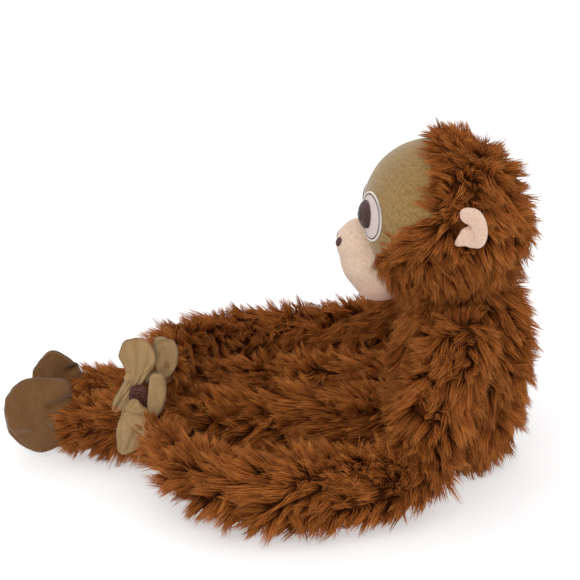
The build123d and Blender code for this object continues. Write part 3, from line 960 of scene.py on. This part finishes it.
def on_spine(spine):
    """Places points of a strip about a curve, its half width in the last column, seen from +X."""
    line = curve_through(spine, 1.0)
    across = unit(np.cross(LEFT, np.gradient(line[:, :3], axis=0)))
    share = np.linspace(-1, 1, len(line))

    def place(u, v):
        at = np.array([np.interp(u, share, column) for column in (*line.T, *across.T)])
        return at[:3].T + at[4:].T * (v * at[3])[:, None]
    return place


def square_round(angle):
    """An outline between a square and a circle, for strips with even width and rounded ends."""
    return (np.abs(np.cos(angle)) ** 3.4 + np.abs(np.sin(angle)) ** 3.4) ** (-1 / 3.4)


def flat_bag(name, outline, thickness, place, out, cells):
    """A closed bag of two cloths sewn round one outline, as a grid that a simulation can fill.

    Returns it with the indices of its rim, and its points in the plane and across it.
    """
    build = bmesh.new()
    bmesh.ops.create_cube(build, size=2)
    bmesh.ops.subdivide_edges(build, edges=build.edges, cuts=cells - 1, use_grid_fill=True)
    points = np.array([v.co for v in build.verts])
    mesh = bpy.data.meshes.new(name)
    build.to_mesh(mesh)
    build.free()
    square = points / np.max(np.abs(points), axis=1)[:, None]
    second, third = np.roll(square, -1, axis=1) ** 2, np.roll(square, -2, axis=1) ** 2
    ball = square * np.sqrt(np.maximum(1 - second / 2 - third / 2 + second * third / 3, 0))
    angle = np.arctan2(ball[:, 1], ball[:, 0])
    share = np.clip(np.hypot(ball[:, 0], ball[:, 1]), 0, 1)
    spread = 1 - (1 - share) ** 1.35
    reach = outline(angle) * spread
    u, v = reach * np.cos(angle), reach * np.sin(angle)
    w = thickness / 2 * np.sign(ball[:, 2]) * np.abs(ball[:, 2]) ** 0.8
    obj = add_object(name, mesh)
    move_points(obj, place(u, v) + np.outer(w, out))
    rim = np.where(np.abs(ball[:, 2]) < 1e-6)[0]
    rim = rim[np.argsort(angle[rim])]
    return obj, rim, np.column_stack([u, v, w])


SUEDE_CLOTH = {"quality": 6, "mass": 0.2, "tension_stiffness": 20, "compression_stiffness": 12,
               "shear_stiffness": 6, "bending_stiffness": 0.25, "use_pressure": True, "shrink_min": -0.09}
FILL_FRAMES = 14
EDGE_PULL = 0.3    # share of the movement in its own plane that a filled bag keeps


def fill_bag(obj, pressure, cap):
    """Blows a bag up with cloth simulation, and keeps each point within a cap of where it was."""
    before = points_of(obj)
    cloth = obj.modifiers.new("cloth", "CLOTH")
    for key, value in SUEDE_CLOTH.items():
        setattr(cloth.settings, key, value)
    cloth.settings.uniform_pressure_force = pressure
    cloth.settings.effector_weights.gravity = 0
    cloth.point_cache.frame_start = 1
    cloth.point_cache.frame_end = FILL_FRAMES
    scene = bpy.context.scene
    for number in range(1, FILL_FRAMES + 1):
        scene.frame_set(number)
    shape = bpy.data.meshes.new_from_object(obj.evaluated_get(bpy.context.evaluated_depsgraph_get()))
    obj.modifiers.clear()
    obj.data = shape
    scene.frame_set(1)
    moved = points_of(obj) - before
    far = np.linalg.norm(moved, axis=1)[:, None]
    move_points(obj, before + moved * np.minimum(1, cap / np.maximum(far, 1e-6)))


def crease(points, flat, folds, out):
    """Presses soft valleys into a bag: each is a line in its plane, with a depth and a width."""
    for (u0, v0), (u1, v1), depth, width in folds:
        a, b = np.array([u0, v0]), np.array([u1, v1])
        share = np.clip(((flat[:, :2] - a) @ (b - a)) / ((b - a) @ (b - a)), 0, 1)
        away = np.linalg.norm(flat[:, :2] - (a + share[:, None] * (b - a)), axis=1)
        press = depth * np.exp(-((away / width) ** 2))
        points = points - np.outer(press * np.where(flat[:, 2] > 0.05, 1.0, 0.75), out)
    return points


def stitch_rim(name, obj, rim, half_width, out):
    """A raised seam along the edge of a bag, and short stitches across it."""
    edge = points_of(obj)[rim]
    line = curve_through(np.vstack([edge, edge[:2]]), 1.2)
    stitches = [thread(line, half_width)]
    along = unit(np.gradient(line, axis=0))
    for index in range(0, len(line) - 2, 2):
        way = unit(np.cross(along[index], out))
        tips = [line[index] - out * 1.5 - way * 0.4, line[index] + way * 0.5,
                line[index] + out * 1.5 - way * 0.4]
        stitches.append(thread(np.array(tips), half_width * 0.55))
    return joined(name, stitches)


def oval_reach(angle, half_length, half_height):
    """How far an oval reaches from its middle, each way round."""
    return 1 / np.sqrt((np.cos(angle) / half_length) ** 2 + (np.sin(angle) / half_height) ** 2)


def lobe(angle, centre, width, height):
    """A soft bulge of an outline about one direction."""
    away = (angle - centre + math.pi) % (2 * math.pi) - math.pi
    return height * np.exp(-((away / width) ** 2))


def make_ear(name, side):
    """A puffy flap with a round upper lobe and a pointed lower one, folded in from its front edge."""
    middle, half = box_mm(f"{name}_ear")
    middle = middle + np.array([side * 1.2, 4.0, 4.5])
    facing = unit(np.array([side * 0.8, -0.6, 0]))
    ahead = unit(np.array([-side * 0.6, -0.8, 0]))

    def outline(angle):
        return (oval_reach(angle, 10.5, half[2]) + lobe(angle, 0.9, 0.34, 2.6) + lobe(angle, -0.82, 0.24, 6.0)
                - lobe(angle, 0.1, 0.3, 4.6) - lobe(angle, -1.7, 0.35, 1.6))

    ear, _, flat = flat_bag(f"{name}_ear_cloth", outline, 7.5, in_plane(middle, ahead, UP), facing, 30)
    folds = [((11, 2.6), (3, 0.4), 2.9, 1.4), ((3, 0.4), (-0.5, -4.5), 2.6, 1.5),
             ((6, -8), (3, -6), 1.2, 3.4)]
    points = crease(points_of(ear), flat, folds, facing)
    rear = smoothstep(3, -9, flat[:, 0])
    points = points + np.outer(1.8 * np.hypot(flat[:, 0] / 10, flat[:, 1] / 14) ** 2 + 0.8 * rear, facing)
    move_points(ear, points)
    apply_modifier(ear, "SMOOTH", factor=0.5, iterations=4)
    apply_modifier(ear, "SUBSURF", levels=1)
    finish_piece(ear, EAR_CLOTH, "head", (f"{name}_ear", f"{name}_ear_lining"))


def sewn_bag(name, outline, thickness, place, out, folds, cells, pressure, cap):
    """A filled, creased bag, with what a seam along its edge needs to know."""
    bag, rim, flat = flat_bag(name, outline, thickness, place, out, cells)
    cut = points_of(bag)
    fill_bag(bag, pressure, cap)
    swollen = points_of(bag) - cut
    puffed = np.outer(swollen @ out, out)
    move_points(bag, cut + puffed + EDGE_PULL * (swollen - puffed))
    apply_modifier(bag, "SMOOTH", factor=0.5, iterations=4)
    move_points(bag, crease(points_of(bag), flat, folds, out))
    return bag, rim, flat


def keep_side(obj, plane, side):
    """Keeps a piece on its own side of the plane where the two hands meet."""
    points = points_of(obj)
    points[:, 0] = np.maximum(points[:, 0], plane) if side > 0 else np.minimum(points[:, 0], plane)
    move_points(obj, points)


# Each flap of a hand: spine points with a half width, thickness, tilt and folds. The folds run in
# shares of the flap's length and width; the tilt lifts one long edge towards the toy's left.
HAND_FLAPS = {
    "left": [
        ([(46, -221, 58, 4.2), (46.5, -221.5, 51.5, 8.6), (46, -220, 41, 11.6), (46, -225.5, 28.5, 9.8),
          (46.5, -232, 17.5, 4.6)], 7.0, 0.8,
         [((-0.62, -1.1), (-0.42, 0.1), 1.7, 0.09), ((-0.42, 0.1), (-0.3, 1.1), 1.9, 0.1),
          ((-0.3, 0.0), (0.7, 0.3), 1.3, 0.14), ((0.0, -0.8), (0.8, -0.3), 1.0, 0.16)]),
    ],
    "right": [
        ([(34, -222.4, 97.5, 12), (35, -220, 84, 13.2), (35.5, -221.5, 69.5, 6.4), (36, -227, 59.5, 5.0),
          (36, -233, 50.5, 4.8), (36, -237, 44.5, 3.4)], 5.6, 1.8,
         [((-0.95, 0.1), (0.9, 0.0), 1.8, 0.16), ((-0.8, -0.55), (0.2, -0.45), 1.2, 0.14),
          ((-0.6, 0.6), (0.5, 0.5), 1.2, 0.13)]),
        ([(34, -200.5, 98, 7.0), (34, -200, 84, 7.4), (33, -203, 70, 5)], 4.0, -0.8,
         [((-0.8, -0.2), (0.7, 0.1), 1.3, 0.2)]),
    ],
}
THUMB_SPINE = {
    "left": [(47, -205, 78.5, 5.6), (47, -205.3, 63, 5.6), (47, -208.5, 47.5, 5.0)],
    "right": [(29.5, -204, 97.5, 5.2), (29.5, -204, 87, 5.2), (29.5, -205, 77, 4.6)],
}
PAD_SPINE = [(-219.5, 66, 6.4), (-219, 57, 6.6), (-221.5, 47, 6.0)]    # Y, Z and half width


def make_flap(name, spine, thickness, tilt, folds, plane, side, cells=24):
    """One suede flap with its stitched edge: a filled strip, tilted, creased and lightly waved."""
    bag, rim, flat = sewn_bag(name, square_round, thickness, on_spine(spine), LEFT, folds, cells,
                              pressure=2.0, cap=2.0)
    wave = tilt * flat[:, 1] + 0.7 * np.sin(flat[:, 0] * 5 + side) * (0.3 + np.abs(flat[:, 1]))
    move_points(bag, points_of(bag) + np.outer(wave, LEFT))
    keep_side(bag, plane, side)
    seam = stitch_rim(f"{name}_edge", bag, rim, 0.4, LEFT)
    apply_modifier(bag, "SUBSURF", levels=1)
    return bag, seam


def make_hand(name, side):
    """A limp suede mitt of one or two flaps, a thumb, their stitched edges, and the gathered wrist."""
    middle, half = box_mm(f"{name}_hand_stuffing")
    body, palm = f"{name}_hand", middle[0] - side * (half[0] + 2.0)
    flaps, seams = zip(*(make_flap(f"{name}_hand_flap_{number}", *flap, palm, side)
                         for number, flap in enumerate(HAND_FLAPS[name], 1)))
    mitt = joined(f"{name}_hand_mitt", flaps)
    nodes = [f"{name}_hand_{layer}" for layer in ("palm", "stuffing", "back")]
    finish_piece(mitt, HAND_SUEDE, body, nodes)
    thumb, seam = make_flap(f"{name}_thumb_bag", THUMB_SPINE[name], 6.5, 0.3, [], palm, side, 16)
    finish_piece(thumb, HAND_SUEDE, body, (f"{name}_thumb",))
    finish_piece(joined(f"{name}_hand_seam", [*seams, seam]), HAND_THREAD, body)
    wrist = joint_place(f"{name}_wrist")
    cuff = gathered_cuff(f"{name}_wrist_gather", wrist, middle, (8.5, 6.5, 3.5), 12)
    keep_side(cuff, palm, side)
    finish_piece(cuff, HAND_SUEDE, body, (f"{name}_wrist_cuff",))


def gathered_cuff(name, start, end, radii, gathers):
    """A short sleeve from a limb into a hand or foot, drawn up in gathers."""
    balls = [(*start, radii[0]), (*(start * 0.5 + end * 0.5), radii[1]), (*end, radii[2])]
    cuff = Limb(balls, 1.5).mesh(name, 4 * gathers)
    points = points_of(cuff)
    radial = points - start
    ripple = 0.6 * np.sin(gathers * np.arctan2(radial[:, 0], radial[:, 2]))
    move_points(cuff, points + unit(radial) * ripple[:, None])
    return cuff


FOOT = {     # middle's Y and Z, half length, half height, then direction, width and height of two lobes
    "left": ((-293, 31.5), (22.5, 28.0), (2.3, 0.30, 9.0), (0.2, 0.7, 0.8)),
    "right": ((-286.5, 37), (17.5, 19.0), (1.5, 0.42, 4.0), (-1.57, 0.9, 4.0)),
}
FOOT_FOLDS = [((-10, 9), (-28, 15), 5.0, 2.0), ((-4, -10), (6, 6), 0.8, 3.2),
              ((6, -18), (13, -4), 0.6, 3.0), ((2, 12), (12, 16), 0.6, 2.6)]


def make_foot(name, side):
    """A stuffed suede foot on its edge with a big toe, a stitched edge and a gathered ankle."""
    middle, _ = box_mm(f"{name}_foot_stuffing")
    (middle[1], middle[2]), size, toe, second = FOOT[name]
    ankle = joint_place(f"{name}_ankle")
    to_ankle = ankle - middle
    ankle_angle = math.atan2(to_ankle[2], -to_ankle[1])

    def outline(angle):
        return (oval_reach(angle, *size) + lobe(angle, ankle_angle, 0.5, 4)
                + lobe(angle, *toe) + lobe(angle, *second))

    bag, rim, flat = sewn_bag(f"{name}_foot_mitt", outline, 15.0, in_plane(middle, AHEAD, UP), LEFT,
                              FOOT_FOLDS, 30, pressure=3.0, cap=2.5)
    dents = 0.45 * np.sin(flat[:, 0] / 3.4 + side) * np.sin(flat[:, 1] / 4.1 + 1)
    points = points_of(bag) + np.outer(dents * (np.abs(flat[:, 2]) > 0.1), LEFT)
    move_points(bag, np.maximum(points, (-np.inf, -np.inf, FLOOR_GAP)))
    seam = stitch_rim(f"{name}_foot_seam", bag, rim, 0.45, LEFT)
    move_points(seam, np.maximum(points_of(seam), (-np.inf, -np.inf, LOWEST)))
    apply_modifier(bag, "SUBSURF", levels=1)
    nodes = [f"{name}_foot_{layer}" for layer in ("sole", "stuffing", "upper")] + [f"{name}_big_toe"]
    finish_piece(bag, FOOT_SUEDE, f"{name}_foot", nodes)
    finish_piece(seam, FOOT_THREAD, f"{name}_foot")
    cuff = gathered_cuff(f"{name}_ankle_gather", ankle, middle, (10.5, 7.0, 3.0), 13)
    finish_piece(cuff, FOOT_SUEDE, f"{name}_foot", (f"{name}_ankle_cuff",))


def make_pad(node, hold, material):
    """A sewn-on tape pad between the two palms."""
    middle, half = box_mm(node)
    spine = [(middle[0], *row) for row in PAD_SPINE]
    pad, _, _ = flat_bag(f"{node}_tape", square_round, 2 * half[0], on_spine(spine), LEFT, 16)
    finish_piece(pad, material, hold, (node,))


for name, side in SIDES:
    make_ear(name, side)
    make_hand(name, side)
    make_foot(name, side)
make_pad("left_hook_pad", "left_hand", HOOK_TAPE)
make_pad("right_loop_pad", "right_hand", LOOP_TAPE)
